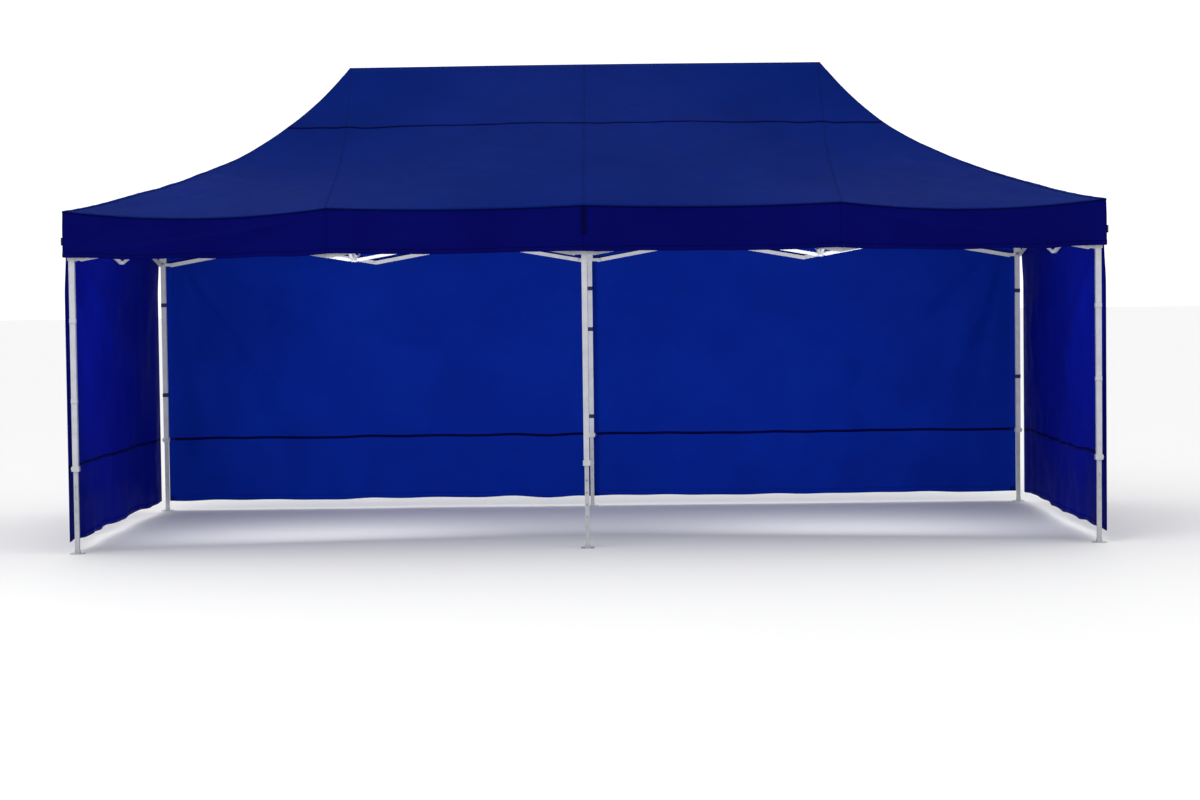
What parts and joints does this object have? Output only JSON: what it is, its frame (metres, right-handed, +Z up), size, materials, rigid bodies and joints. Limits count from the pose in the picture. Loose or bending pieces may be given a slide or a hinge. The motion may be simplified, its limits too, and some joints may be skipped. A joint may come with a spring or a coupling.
{
  "type": "pop up canopy",
  "caption": "Rectangular pop up canopy with a two-peak blue roof and valance, folding scissor frame on telescoping legs, and back and side walls.",
  "frame": {"origin": "centre of the footprint, on the ground under the feet", "axes": "+Z up, +X along the length, the open front faces -Y"},
  "size_m": [5.96, 3.02, 2.9058],
  "materials": {
    "outer_tube": "powder coat",
    "inner_tube": "powder coat",
    "scissor_bar": "powder coat",
    "joint_plastic": "moulded",
    "roof_fabric": "coated oxford weave",
    "wall_fabric": "coated oxford weave"
  },
  "bodies": {
    "leg_front_mid": {"leg_front_mid": "outer_tube", "canopy_roof": "roof_fabric"},
    "bar_front_left_1": {"bar_front_left_1": "scissor_bar"},
    "bar_front_left_2": {"bar_front_left_2": "scissor_bar"},
    "bar_front_left_3": {"bar_front_left_3": "scissor_bar"},
    "bar_front_left_4": {"bar_front_left_4": "scissor_bar"},
    "slider_front_mid": {"slider_front_mid": "joint_plastic"},
    "leg_front_left": {"leg_front_left": "outer_tube", "side_wall_left": "wall_fabric"},
    "slider_front_left": {"slider_front_left": "joint_plastic"},
    "bar_side_left_1": {"bar_side_left_1": "scissor_bar"},
    "bar_side_left_2": {"bar_side_left_2": "scissor_bar"},
    "bar_side_left_3": {"bar_side_left_3": "scissor_bar"},
    "bar_side_left_4": {"bar_side_left_4": "scissor_bar"},
    "leg_back_left": {"leg_back_left": "outer_tube", "back_wall_left": "wall_fabric"},
    "slider_back_left": {"slider_back_left": "joint_plastic"},
    "bar_back_left_1": {"bar_back_left_1": "scissor_bar"},
    "bar_back_left_2": {"bar_back_left_2": "scissor_bar"},
    "bar_back_left_3": {"bar_back_left_3": "scissor_bar"},
    "bar_back_left_4": {"bar_back_left_4": "scissor_bar"},
    "leg_back_mid": {"leg_back_mid": "outer_tube"},
    "slider_back_mid": {"slider_back_mid": "joint_plastic"},
    "bar_front_right_1": {"bar_front_right_1": "scissor_bar"},
    "bar_front_right_2": {"bar_front_right_2": "scissor_bar"},
    "bar_front_right_3": {"bar_front_right_3": "scissor_bar"},
    "bar_front_right_4": {"bar_front_right_4": "scissor_bar"},
    "leg_front_right": {"leg_front_right": "outer_tube", "side_wall_right": "wall_fabric"},
    "slider_front_right": {"slider_front_right": "joint_plastic"},
    "bar_side_right_1": {"bar_side_right_1": "scissor_bar"},
    "bar_side_right_2": {"bar_side_right_2": "scissor_bar"},
    "bar_side_right_3": {"bar_side_right_3": "scissor_bar"},
    "bar_side_right_4": {"bar_side_right_4": "scissor_bar"},
    "leg_back_right": {"leg_back_right": "outer_tube", "back_wall_right": "wall_fabric"},
    "slider_back_right": {"slider_back_right": "joint_plastic"},
    "bar_back_right_1": {"bar_back_right_1": "scissor_bar"},
    "bar_back_right_2": {"bar_back_right_2": "scissor_bar"},
    "bar_back_right_3": {"bar_back_right_3": "scissor_bar"},
    "bar_back_right_4": {"bar_back_right_4": "scissor_bar"},
    "eye_left": {"eye_left": "joint_plastic"},
    "hub_left": {"hub_left": "joint_plastic"},
    "strut_left_front": {"strut_left_front": "scissor_bar"},
    "strut_left_back": {"strut_left_back": "scissor_bar"},
    "strut_left_side": {"strut_left_side": "scissor_bar"},
    "strut_left_centre": {"strut_left_centre": "scissor_bar"},
    "eye_right": {"eye_right": "joint_plastic"},
    "hub_right": {"hub_right": "joint_plastic"},
    "strut_right_front": {"strut_right_front": "scissor_bar"},
    "strut_right_back": {"strut_right_back": "scissor_bar"},
    "strut_right_side": {"strut_right_side": "scissor_bar"},
    "strut_right_centre": {"strut_right_centre": "scissor_bar"},
    "centre_joint": {"centre_joint": "joint_plastic"},
    "inner_leg_front_left": {"inner_leg_front_left": "inner_tube"},
    "inner_leg_front_mid": {"inner_leg_front_mid": "inner_tube"},
    "inner_leg_front_right": {"inner_leg_front_right": "inner_tube"},
    "inner_leg_back_left": {"inner_leg_back_left": "inner_tube"},
    "inner_leg_back_mid": {"inner_leg_back_mid": "inner_tube"},
    "inner_leg_back_right": {"inner_leg_back_right": "inner_tube"}
  },
  "joints": [
    {"name": "fold", "type": "hinge", "parent": "leg_front_mid", "child": "bar_front_left_1", "pos_m": [-0.06, -1.47, 1.945], "axis": [0, -1, 0], "range_deg": [0, 73], "deforming": ["canopy_roof", "back_wall_left", "back_wall_right", "side_wall_left", "side_wall_right"]},
    {"name": "bar_front_left_2_cross", "type": "hinge", "parent": "bar_front_left_1", "child": "bar_front_left_2", "pos_m": [-0.765, -1.47, 1.82], "axis": [0, -1, 0], "range_deg": [-146, 0]},
    {"name": "bar_front_left_3_middle", "type": "hinge", "parent": "bar_front_left_1", "child": "bar_front_left_3", "pos_m": [-1.47, -1.47, 1.695], "axis": [0, -1, 0], "range_deg": [-146, 0]},
    {"name": "bar_front_left_4_cross", "type": "hinge", "parent": "bar_front_left_3", "child": "bar_front_left_4", "pos_m": [-2.175, -1.47, 1.82], "axis": [0, -1, 0], "range_deg": [0, 146]},
    {"name": "slider_front_mid_pivot", "type": "hinge", "parent": "bar_front_left_2", "child": "slider_front_mid", "pos_m": [-0.06, -1.47, 1.695], "axis": [0, -1, 0], "range_deg": [0, 73]},
    {"name": "leg_front_left_pivot", "type": "hinge", "parent": "bar_front_left_3", "child": "leg_front_left", "pos_m": [-2.88, -1.47, 1.945], "axis": [0, -1, 0], "range_deg": [0, 73]},
    {"name": "slider_front_left_pivot", "type": "hinge", "parent": "bar_front_left_4", "child": "slider_front_left", "pos_m": [-2.88, -1.47, 1.695], "axis": [0, -1, 0], "range_deg": [-73, 0]},
    {"name": "bar_side_left_1_pivot", "type": "hinge", "parent": "leg_front_left", "child": "bar_side_left_1", "pos_m": [-2.94, -1.41, 1.945], "axis": [-1, 0, 0], "range_deg": [0, 73]},
    {"name": "bar_side_left_2_cross", "type": "hinge", "parent": "bar_side_left_1", "child": "bar_side_left_2", "pos_m": [-2.94, -0.705, 1.82], "axis": [-1, 0, 0], "range_deg": [-146, 0]},
    {"name": "bar_side_left_3_middle", "type": "hinge", "parent": "bar_side_left_1", "child": "bar_side_left_3", "pos_m": [-2.94, 0, 1.695], "axis": [-1, 0, 0], "range_deg": [-146, 0]},
    {"name": "bar_side_left_4_cross", "type": "hinge", "parent": "bar_side_left_3", "child": "bar_side_left_4", "pos_m": [-2.94, 0.705, 1.82], "axis": [-1, 0, 0], "range_deg": [0, 146]},
    {"name": "leg_back_left_pivot", "type": "hinge", "parent": "bar_side_left_3", "child": "leg_back_left", "pos_m": [-2.94, 1.41, 1.945], "axis": [-1, 0, 0], "range_deg": [0, 73]},
    {"name": "slider_back_left_pivot", "type": "hinge", "parent": "bar_side_left_4", "child": "slider_back_left", "pos_m": [-2.94, 1.41, 1.695], "axis": [-1, 0, 0], "range_deg": [-73, 0]},
    {"name": "bar_back_left_1_pivot", "type": "hinge", "parent": "leg_back_left", "child": "bar_back_left_1", "pos_m": [-2.88, 1.47, 1.945], "axis": [0, 1, 0], "range_deg": [0, 73]},
    {"name": "bar_back_left_2_cross", "type": "hinge", "parent": "bar_back_left_1", "child": "bar_back_left_2", "pos_m": [-2.175, 1.47, 1.82], "axis": [0, 1, 0], "range_deg": [-146, 0]},
    {"name": "bar_back_left_3_middle", "type": "hinge", "parent": "bar_back_left_1", "child": "bar_back_left_3", "pos_m": [-1.47, 1.47, 1.695], "axis": [0, 1, 0], "range_deg": [-146, 0]},
    {"name": "bar_back_left_4_cross", "type": "hinge", "parent": "bar_back_left_3", "child": "bar_back_left_4", "pos_m": [-0.765, 1.47, 1.82], "axis": [0, 1, 0], "range_deg": [0, 146]},
    {"name": "leg_back_mid_pivot", "type": "hinge", "parent": "bar_back_left_3", "child": "leg_back_mid", "pos_m": [-0.06, 1.47, 1.945], "axis": [0, 1, 0], "range_deg": [0, 73]},
    {"name": "slider_back_mid_pivot", "type": "hinge", "parent": "bar_back_left_4", "child": "slider_back_mid", "pos_m": [-0.06, 1.47, 1.695], "axis": [0, 1, 0], "range_deg": [-73, 0]},
    {"name": "bar_front_right_1_pivot", "type": "hinge", "parent": "leg_front_mid", "child": "bar_front_right_1", "pos_m": [0.06, -1.47, 1.945], "axis": [0, 1, 0], "range_deg": [0, 73]},
    {"name": "bar_front_right_2_cross", "type": "hinge", "parent": "bar_front_right_1", "child": "bar_front_right_2", "pos_m": [0.765, -1.47, 1.82], "axis": [0, 1, 0], "range_deg": [-146, 0]},
    {"name": "bar_front_right_3_middle", "type": "hinge", "parent": "bar_front_right_1", "child": "bar_front_right_3", "pos_m": [1.47, -1.47, 1.695], "axis": [0, 1, 0], "range_deg": [-146, 0]},
    {"name": "bar_front_right_4_cross", "type": "hinge", "parent": "bar_front_right_3", "child": "bar_front_right_4", "pos_m": [2.175, -1.47, 1.82], "axis": [0, 1, 0], "range_deg": [0, 146]},
    {"name": "leg_front_right_pivot", "type": "hinge", "parent": "bar_front_right_3", "child": "leg_front_right", "pos_m": [2.88, -1.47, 1.945], "axis": [0, 1, 0], "range_deg": [0, 73]},
    {"name": "slider_front_right_pivot", "type": "hinge", "parent": "bar_front_right_4", "child": "slider_front_right", "pos_m": [2.88, -1.47, 1.695], "axis": [0, 1, 0], "range_deg": [-73, 0]},
    {"name": "bar_side_right_1_pivot", "type": "hinge", "parent": "leg_front_right", "child": "bar_side_right_1", "pos_m": [2.94, -1.41, 1.945], "axis": [-1, 0, 0], "range_deg": [0, 73]},
    {"name": "bar_side_right_2_cross", "type": "hinge", "parent": "bar_side_right_1", "child": "bar_side_right_2", "pos_m": [2.94, -0.705, 1.82], "axis": [-1, 0, 0], "range_deg": [-146, 0]},
    {"name": "bar_side_right_3_middle", "type": "hinge", "parent": "bar_side_right_1", "child": "bar_side_right_3", "pos_m": [2.94, 0, 1.695], "axis": [-1, 0, 0], "range_deg": [-146, 0]},
    {"name": "bar_side_right_4_cross", "type": "hinge", "parent": "bar_side_right_3", "child": "bar_side_right_4", "pos_m": [2.94, 0.705, 1.82], "axis": [-1, 0, 0], "range_deg": [0, 146]},
    {"name": "leg_back_right_pivot", "type": "hinge", "parent": "bar_side_right_3", "child": "leg_back_right", "pos_m": [2.94, 1.41, 1.945], "axis": [-1, 0, 0], "range_deg": [0, 73]},
    {"name": "slider_back_right_pivot", "type": "hinge", "parent": "bar_side_right_4", "child": "slider_back_right", "pos_m": [2.94, 1.41, 1.695], "axis": [-1, 0, 0], "range_deg": [-73, 0]},
    {"name": "bar_back_right_1_pivot", "type": "hinge", "parent": "leg_back_right", "child": "bar_back_right_1", "pos_m": [2.88, 1.47, 1.945], "axis": [0, -1, 0], "range_deg": [0, 73]},
    {"name": "bar_back_right_2_cross", "type": "hinge", "parent": "bar_back_right_1", "child": "bar_back_right_2", "pos_m": [2.175, 1.47, 1.82], "axis": [0, -1, 0], "range_deg": [-146, 0]},
    {"name": "bar_back_right_3_middle", "type": "hinge", "parent": "bar_back_right_1", "child": "bar_back_right_3", "pos_m": [1.47, 1.47, 1.695], "axis": [0, -1, 0], "range_deg": [-146, 0]},
    {"name": "bar_back_right_4_cross", "type": "hinge", "parent": "bar_back_right_3", "child": "bar_back_right_4", "pos_m": [0.765, 1.47, 1.82], "axis": [0, -1, 0], "range_deg": [0, 146]},
    {"name": "eye_left_swivel", "type": "hinge", "parent": "bar_front_left_2", "child": "eye_left", "pos_m": [-1.47, -1.47, 1.945], "axis": [0, -1, 0], "range_deg": [0, 73]},
    {"name": "strut_left_front_outer", "type": "hinge", "parent": "eye_left", "child": "strut_left_front", "pos_m": [-1.47, -1.444, 1.945], "axis": [1, 0, 0], "range_deg": [-73, 0]},
    {"name": "hub_left_pivot", "type": "hinge", "parent": "strut_left_front", "child": "hub_left", "pos_m": [-1.47, -0.034, 1.695], "axis": [1, 0, 0], "range_deg": [0, 73]},
    {"name": "strut_left_back_pivot", "type": "hinge", "parent": "hub_left", "child": "strut_left_back", "pos_m": [-1.47, 0.034, 1.695], "axis": [-1, 0, 0], "range_deg": [-73, 0]},
    {"name": "strut_left_side_pivot", "type": "hinge", "parent": "hub_left", "child": "strut_left_side", "pos_m": [-1.504, 0, 1.695], "axis": [0, -1, 0], "range_deg": [-73, 0]},
    {"name": "strut_left_centre_pivot", "type": "hinge", "parent": "hub_left", "child": "strut_left_centre", "pos_m": [-1.436, 0, 1.695], "axis": [0, 1, 0], "range_deg": [-73, 0]},
    {"name": "eye_right_swivel", "type": "hinge", "parent": "bar_front_right_2", "child": "eye_right", "pos_m": [1.47, -1.47, 1.945], "axis": [0, 1, 0], "range_deg": [0, 73]},
    {"name": "strut_right_front_outer", "type": "hinge", "parent": "eye_right", "child": "strut_right_front", "pos_m": [1.47, -1.444, 1.945], "axis": [1, 0, 0], "range_deg": [-73, 0]},
    {"name": "hub_right_pivot", "type": "hinge", "parent": "strut_right_front", "child": "hub_right", "pos_m": [1.47, -0.034, 1.695], "axis": [1, 0, 0], "range_deg": [0, 73]},
    {"name": "strut_right_back_pivot", "type": "hinge", "parent": "hub_right", "child": "strut_right_back", "pos_m": [1.47, 0.034, 1.695], "axis": [-1, 0, 0], "range_deg": [-73, 0]},
    {"name": "strut_right_side_pivot", "type": "hinge", "parent": "hub_right", "child": "strut_right_side", "pos_m": [1.504, 0, 1.695], "axis": [0, 1, 0], "range_deg": [-73, 0]},
    {"name": "strut_right_centre_pivot", "type": "hinge", "parent": "hub_right", "child": "strut_right_centre", "pos_m": [1.436, 0, 1.695], "axis": [0, -1, 0], "range_deg": [-73, 0]},
    {"name": "centre_joint_pivot", "type": "hinge", "parent": "strut_left_centre", "child": "centre_joint", "pos_m": [-0.026, 0, 1.945], "axis": [0, 1, 0], "range_deg": [0, 73]},
    {"name": "inner_leg_front_left_slide", "type": "slide", "parent": "leg_front_left", "child": "inner_leg_front_left", "axis": [0, 0, 1], "range_m": [0, 0.42]},
    {"name": "inner_leg_front_mid_slide", "type": "slide", "parent": "leg_front_mid", "child": "inner_leg_front_mid", "axis": [0, 0, 1], "range_m": [0, 0.42]},
    {"name": "inner_leg_front_right_slide", "type": "slide", "parent": "leg_front_right", "child": "inner_leg_front_right", "axis": [0, 0, 1], "range_m": [0, 0.42]},
    {"name": "inner_leg_back_left_slide", "type": "slide", "parent": "leg_back_left", "child": "inner_leg_back_left", "axis": [0, 0, 1], "range_m": [0, 0.42]},
    {"name": "inner_leg_back_mid_slide", "type": "slide", "parent": "leg_back_mid", "child": "inner_leg_back_mid", "axis": [0, 0, 1], "range_m": [0, 0.42]},
    {"name": "inner_leg_back_right_slide", "type": "slide", "parent": "leg_back_right", "child": "inner_leg_back_right", "axis": [0, 0, 1], "range_m": [0, 0.42]}
  ],
  "couplings": [
    {"joint": "bar_front_left_2_cross", "follows": "fold", "ratio": -2},
    {"joint": "bar_front_left_3_middle", "follows": "fold", "ratio": -2},
    {"joint": "bar_front_left_4_cross", "follows": "fold", "ratio": 2},
    {"joint": "slider_front_mid_pivot", "follows": "fold", "ratio": 1},
    {"joint": "leg_front_left_pivot", "follows": "fold", "ratio": 1},
    {"joint": "slider_front_left_pivot", "follows": "fold", "ratio": -1},
    {"joint": "bar_side_left_1_pivot", "follows": "fold", "ratio": 1},
    {"joint": "bar_side_left_2_cross", "follows": "fold", "ratio": -2},
    {"joint": "bar_side_left_3_middle", "follows": "fold", "ratio": -2},
    {"joint": "bar_side_left_4_cross", "follows": "fold", "ratio": 2},
    {"joint": "leg_back_left_pivot", "follows": "fold", "ratio": 1},
    {"joint": "slider_back_left_pivot", "follows": "fold", "ratio": -1},
    {"joint": "bar_back_left_1_pivot", "follows": "fold", "ratio": 1},
    {"joint": "bar_back_left_2_cross", "follows": "fold", "ratio": -2},
    {"joint": "bar_back_left_3_middle", "follows": "fold", "ratio": -2},
    {"joint": "bar_back_left_4_cross", "follows": "fold", "ratio": 2},
    {"joint": "leg_back_mid_pivot", "follows": "fold", "ratio": 1},
    {"joint": "slider_back_mid_pivot", "follows": "fold", "ratio": -1},
    {"joint": "bar_front_right_1_pivot", "follows": "fold", "ratio": 1},
    {"joint": "bar_front_right_2_cross", "follows": "fold", "ratio": -2},
    {"joint": "bar_front_right_3_middle", "follows": "fold", "ratio": -2},
    {"joint": "bar_front_right_4_cross", "follows": "fold", "ratio": 2},
    {"joint": "leg_front_right_pivot", "follows": "fold", "ratio": 1},
    {"joint": "slider_front_right_pivot", "follows": "fold", "ratio": -1},
    {"joint": "bar_side_right_1_pivot", "follows": "fold", "ratio": 1},
    {"joint": "bar_side_right_2_cross", "follows": "fold", "ratio": -2},
    {"joint": "bar_side_right_3_middle", "follows": "fold", "ratio": -2},
    {"joint": "bar_side_right_4_cross", "follows": "fold", "ratio": 2},
    {"joint": "leg_back_right_pivot", "follows": "fold", "ratio": 1},
    {"joint": "slider_back_right_pivot", "follows": "fold", "ratio": -1},
    {"joint": "bar_back_right_1_pivot", "follows": "fold", "ratio": 1},
    {"joint": "bar_back_right_2_cross", "follows": "fold", "ratio": -2},
    {"joint": "bar_back_right_3_middle", "follows": "fold", "ratio": -2},
    {"joint": "bar_back_right_4_cross", "follows": "fold", "ratio": 2},
    {"joint": "eye_left_swivel", "follows": "fold", "ratio": 1},
    {"joint": "strut_left_front_outer", "follows": "fold", "ratio": -1},
    {"joint": "hub_left_pivot", "follows": "fold", "ratio": 1},
    {"joint": "strut_left_back_pivot", "follows": "fold", "ratio": -1},
    {"joint": "strut_left_side_pivot", "follows": "fold", "ratio": -1},
    {"joint": "strut_left_centre_pivot", "follows": "fold", "ratio": -1},
    {"joint": "eye_right_swivel", "follows": "fold", "ratio": 1},
    {"joint": "strut_right_front_outer", "follows": "fold", "ratio": -1},
    {"joint": "hub_right_pivot", "follows": "fold", "ratio": 1},
    {"joint": "strut_right_back_pivot", "follows": "fold", "ratio": -1},
    {"joint": "strut_right_side_pivot", "follows": "fold", "ratio": -1},
    {"joint": "strut_right_centre_pivot", "follows": "fold", "ratio": -1},
    {"joint": "centre_joint_pivot", "follows": "fold", "ratio": 1}
  ]
}
